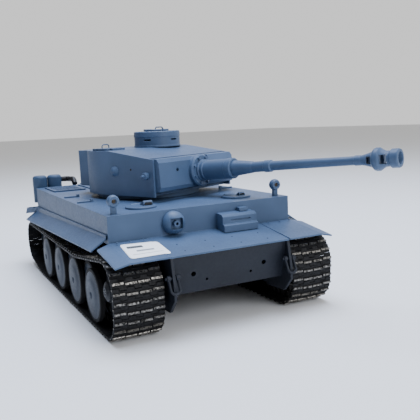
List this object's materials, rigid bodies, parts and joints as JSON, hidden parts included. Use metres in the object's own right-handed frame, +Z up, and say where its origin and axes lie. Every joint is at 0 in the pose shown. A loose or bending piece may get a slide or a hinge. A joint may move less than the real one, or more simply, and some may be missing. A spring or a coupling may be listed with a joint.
{
  "type": "remote control tank",
  "caption": "Remote control model of a heavy tank with turning turret, long recoiling gun, interleaved road wheels, tracks and hinged hatches.",
  "frame": {"origin": "on the ground under the tracks, on the centre line, 17 mm in front of the turret axis", "axes": "+Z up, -Y the way the hull faces, +X the hull's left side"},
  "size_m": [0.2411, 0.4709, 0.1788],
  "materials": {
    "battery_wrap": "shrink-wrapped cells",
    "black_plastic": "black moulded plastic",
    "brass_gear": "turned brass",
    "circuit_board": "green circuit board",
    "dark_steel": "blackened steel",
    "hull_paint": "satin blue-grey model paint",
    "hull_shadow_paint": "satin blue-grey model paint",
    "motor_steel": "plated motor cans and gearbox plates",
    "nylon_gear": "white nylon",
    "sprocket_metal": "dark cast metal",
    "track_metal": "dark cast metal, worn bright on the grousers",
    "wheel_paint": "satin grey wheels with black rubber tyres"
  },
  "bodies": {
    "root": {"air_cleaners": "hull_paint", "battery_pack": "battery_wrap", "bow_gun_ball": "hull_paint", "control_board": "circuit_board", "driver_visor": "hull_paint", "engine_hatch": "hull_paint", "exhausts": "hull_paint", "gearboxes": "motor_steel", "headlamps": "hull_paint", "hull_screws": "dark_steel", "intake_grilles": "hull_paint", "lower_hull": "hull_shadow_paint", "mudguards": "hull_paint", "side_skirts": "hull_paint", "speaker": "black_plastic", "suspension_arms": "dark_steel", "switch_case": "black_plastic", "tool_clamps": "hull_paint", "track_left": "track_metal", "track_right": "track_metal", "turret_motor": "motor_steel", "upper_hull": "hull_paint"},
    "drive_sprocket_left": {"sprocket_left": "sprocket_metal"},
    "pinion_left": {"motor_pinion_left": "brass_gear"},
    "idler_wheel_left": {"idler_left": "wheel_paint"},
    "wheel_left_1": {"road_wheel_left_1": "wheel_paint"},
    "wheel_left_2": {"road_wheel_left_2": "wheel_paint"},
    "wheel_left_3": {"road_wheel_left_3": "wheel_paint"},
    "wheel_left_4": {"road_wheel_left_4": "wheel_paint"},
    "wheel_left_5": {"road_wheel_left_5": "wheel_paint"},
    "wheel_left_6": {"road_wheel_left_6": "wheel_paint"},
    "wheel_left_7": {"road_wheel_left_7": "wheel_paint"},
    "wheel_left_8": {"road_wheel_left_8": "wheel_paint"},
    "shackle_left": {"tow_shackle_left": "hull_paint"},
    "drive_sprocket_right": {"sprocket_right": "sprocket_metal"},
    "pinion_right": {"motor_pinion_right": "brass_gear"},
    "idler_wheel_right": {"idler_right": "wheel_paint"},
    "wheel_right_1": {"road_wheel_right_1": "wheel_paint"},
    "wheel_right_2": {"road_wheel_right_2": "wheel_paint"},
    "wheel_right_3": {"road_wheel_right_3": "wheel_paint"},
    "wheel_right_4": {"road_wheel_right_4": "wheel_paint"},
    "wheel_right_5": {"road_wheel_right_5": "wheel_paint"},
    "wheel_right_6": {"road_wheel_right_6": "wheel_paint"},
    "wheel_right_7": {"road_wheel_right_7": "wheel_paint"},
    "wheel_right_8": {"road_wheel_right_8": "wheel_paint"},
    "shackle_right": {"tow_shackle_right": "hull_paint"},
    "turret": {"turret_shell": "hull_paint", "turret_bin": "hull_paint", "cupola": "hull_paint", "turret_ring_gear": "nylon_gear"},
    "turret_drive_pinion": {"turret_pinion": "brass_gear"},
    "gun_cradle": {"gun_mantlet": "hull_paint"},
    "barrel": {"gun_barrel": "hull_paint", "muzzle_brake": "hull_paint"},
    "cupola_lid": {"cupola_hatch": "hull_paint"},
    "loader_lid": {"loader_hatch": "hull_paint"},
    "driver_lid": {"driver_hatch": "hull_paint"},
    "radio_lid": {"radio_hatch": "hull_paint"},
    "power_slider": {"switch_knob": "black_plastic"}
  },
  "joints": [
    {"name": "sprocket_left_spin", "type": "hinge", "parent": "root", "child": "drive_sprocket_left", "pos_m": [0.0882, -0.147, 0.042], "axis": [1, 0, 0], "continuous": true},
    {"name": "motor_pinion_left_spin", "type": "hinge", "parent": "root", "child": "pinion_left", "pos_m": [0.046, -0.13265, 0.042], "axis": [1, 0, 0], "continuous": true},
    {"name": "idler_left_spin", "type": "hinge", "parent": "root", "child": "idler_wheel_left", "pos_m": [0.0882, 0.177, 0.034], "axis": [1, 0, 0], "continuous": true},
    {"name": "wheel_left_1_spin", "type": "hinge", "parent": "root", "child": "wheel_left_1", "pos_m": [0.0882, -0.1046, 0.029], "axis": [1, 0, 0], "continuous": true},
    {"name": "wheel_left_2_spin", "type": "hinge", "parent": "root", "child": "wheel_left_2", "pos_m": [0.0882, -0.07235, 0.029], "axis": [1, 0, 0], "continuous": true},
    {"name": "wheel_left_3_spin", "type": "hinge", "parent": "root", "child": "wheel_left_3", "pos_m": [0.0882, -0.0401, 0.029], "axis": [1, 0, 0], "continuous": true},
    {"name": "wheel_left_4_spin", "type": "hinge", "parent": "root", "child": "wheel_left_4", "pos_m": [0.0882, -0.00785, 0.029], "axis": [1, 0, 0], "continuous": true},
    {"name": "wheel_left_5_spin", "type": "hinge", "parent": "root", "child": "wheel_left_5", "pos_m": [0.0882, 0.0244, 0.029], "axis": [1, 0, 0], "continuous": true},
    {"name": "wheel_left_6_spin", "type": "hinge", "parent": "root", "child": "wheel_left_6", "pos_m": [0.0882, 0.05665, 0.029], "axis": [1, 0, 0], "continuous": true},
    {"name": "wheel_left_7_spin", "type": "hinge", "parent": "root", "child": "wheel_left_7", "pos_m": [0.0882, 0.0889, 0.029], "axis": [1, 0, 0], "continuous": true},
    {"name": "wheel_left_8_spin", "type": "hinge", "parent": "root", "child": "wheel_left_8", "pos_m": [0.0882, 0.12115, 0.029], "axis": [1, 0, 0], "continuous": true},
    {"name": "shackle_left_swing", "type": "hinge", "parent": "root", "child": "shackle_left", "pos_m": [0.05875, -0.1775, 0.053], "axis": [-1, 0, 0], "range_deg": [0, 100]},
    {"name": "sprocket_right_spin", "type": "hinge", "parent": "root", "child": "drive_sprocket_right", "pos_m": [-0.0882, -0.147, 0.042], "axis": [1, 0, 0], "continuous": true},
    {"name": "motor_pinion_right_spin", "type": "hinge", "parent": "root", "child": "pinion_right", "pos_m": [-0.046, -0.13265, 0.042], "axis": [1, 0, 0], "continuous": true},
    {"name": "idler_right_spin", "type": "hinge", "parent": "root", "child": "idler_wheel_right", "pos_m": [-0.0882, 0.177, 0.034], "axis": [1, 0, 0], "continuous": true},
    {"name": "wheel_right_1_spin", "type": "hinge", "parent": "root", "child": "wheel_right_1", "pos_m": [-0.0882, -0.1046, 0.029], "axis": [1, 0, 0], "continuous": true},
    {"name": "wheel_right_2_spin", "type": "hinge", "parent": "root", "child": "wheel_right_2", "pos_m": [-0.0882, -0.07235, 0.029], "axis": [1, 0, 0], "continuous": true},
    {"name": "wheel_right_3_spin", "type": "hinge", "parent": "root", "child": "wheel_right_3", "pos_m": [-0.0882, -0.0401, 0.029], "axis": [1, 0, 0], "continuous": true},
    {"name": "wheel_right_4_spin", "type": "hinge", "parent": "root", "child": "wheel_right_4", "pos_m": [-0.0882, -0.00785, 0.029], "axis": [1, 0, 0], "continuous": true},
    {"name": "wheel_right_5_spin", "type": "hinge", "parent": "root", "child": "wheel_right_5", "pos_m": [-0.0882, 0.0244, 0.029], "axis": [1, 0, 0], "continuous": true},
    {"name": "wheel_right_6_spin", "type": "hinge", "parent": "root", "child": "wheel_right_6", "pos_m": [-0.0882, 0.05665, 0.029], "axis": [1, 0, 0], "continuous": true},
    {"name": "wheel_right_7_spin", "type": "hinge", "parent": "root", "child": "wheel_right_7", "pos_m": [-0.0882, 0.0889, 0.029], "axis": [1, 0, 0], "continuous": true},
    {"name": "wheel_right_8_spin", "type": "hinge", "parent": "root", "child": "wheel_right_8", "pos_m": [-0.0882, 0.12115, 0.029], "axis": [1, 0, 0], "continuous": true},
    {"name": "shackle_right_swing", "type": "hinge", "parent": "root", "child": "shackle_right", "pos_m": [-0.05875, -0.1775, 0.053], "axis": [-1, 0, 0], "range_deg": [0, 100]},
    {"name": "turret_turn", "type": "hinge", "parent": "root", "child": "turret", "pos_m": [0, 0.017, 0.1054], "axis": [0, 0, 1], "range_deg": [-169.4, 120.6]},
    {"name": "turret_pinion_spin", "type": "hinge", "parent": "root", "child": "turret_drive_pinion", "pos_m": [0, 0.08035, 0.095], "axis": [0, 0, 1], "continuous": true},
    {"name": "gun_elevation", "type": "hinge", "parent": "turret", "child": "gun_cradle", "pos_m": [0.02396, -0.03582, 0.1291], "axis": [-0.9107, -0.4131, 0], "range_deg": [-8.6, 10]},
    {"name": "barrel_recoil", "type": "slide", "parent": "gun_cradle", "child": "barrel", "axis": [-0.4123, 0.9089, -0.0628], "range_m": [0, 0.008]},
    {"name": "cupola_hatch_hinge", "type": "hinge", "parent": "turret", "child": "cupola_lid", "pos_m": [0.01549, 0.05137, 0.1749], "axis": [-0.9107, -0.4131, 0], "range_deg": [0, 95]},
    {"name": "loader_hatch_hinge", "type": "hinge", "parent": "turret", "child": "loader_lid", "pos_m": [-0.04263, 0.00205, 0.1567], "axis": [0.9107, 0.4131, 0], "range_deg": [0, 100]},
    {"name": "driver_hatch_hinge", "type": "hinge", "parent": "root", "child": "driver_lid", "pos_m": [0.0525, -0.0779, 0.1043], "axis": [-1, 0, 0], "range_deg": [0, 30]},
    {"name": "radio_hatch_hinge", "type": "hinge", "parent": "root", "child": "radio_lid", "pos_m": [-0.0525, -0.0779, 0.1043], "axis": [-1, 0, 0], "range_deg": [0, 95]},
    {"name": "power_switch", "type": "slide", "parent": "root", "child": "power_slider", "axis": [0, 1, 0], "range_m": [0, 0.004]}
  ],
  "couplings": [
    {"joint": "motor_pinion_left_spin", "follows": "sprocket_left_spin", "ratio": -1.8},
    {"joint": "idler_left_spin", "follows": "sprocket_left_spin", "ratio": 1.1017},
    {"joint": "wheel_left_1_spin", "follows": "sprocket_left_spin", "ratio": 0.98859},
    {"joint": "wheel_left_2_spin", "follows": "sprocket_left_spin", "ratio": 0.98859},
    {"joint": "wheel_left_3_spin", "follows": "sprocket_left_spin", "ratio": 0.98859},
    {"joint": "wheel_left_4_spin", "follows": "sprocket_left_spin", "ratio": 0.98859},
    {"joint": "wheel_left_5_spin", "follows": "sprocket_left_spin", "ratio": 0.98859},
    {"joint": "wheel_left_6_spin", "follows": "sprocket_left_spin", "ratio": 0.98859},
    {"joint": "wheel_left_7_spin", "follows": "sprocket_left_spin", "ratio": 0.98859},
    {"joint": "wheel_left_8_spin", "follows": "sprocket_left_spin", "ratio": 0.98859},
    {"joint": "motor_pinion_right_spin", "follows": "sprocket_right_spin", "ratio": -1.8},
    {"joint": "idler_right_spin", "follows": "sprocket_right_spin", "ratio": 1.1017},
    {"joint": "wheel_right_1_spin", "follows": "sprocket_right_spin", "ratio": 0.98859},
    {"joint": "wheel_right_2_spin", "follows": "sprocket_right_spin", "ratio": 0.98859},
    {"joint": "wheel_right_3_spin", "follows": "sprocket_right_spin", "ratio": 0.98859},
    {"joint": "wheel_right_4_spin", "follows": "sprocket_right_spin", "ratio": 0.98859},
    {"joint": "wheel_right_5_spin", "follows": "sprocket_right_spin", "ratio": 0.98859},
    {"joint": "wheel_right_6_spin", "follows": "sprocket_right_spin", "ratio": 0.98859},
    {"joint": "wheel_right_7_spin", "follows": "sprocket_right_spin", "ratio": 0.98859},
    {"joint": "wheel_right_8_spin", "follows": "sprocket_right_spin", "ratio": 0.98859},
    {"joint": "turret_pinion_spin", "follows": "turret_turn", "ratio": -9.5}
  ]
}
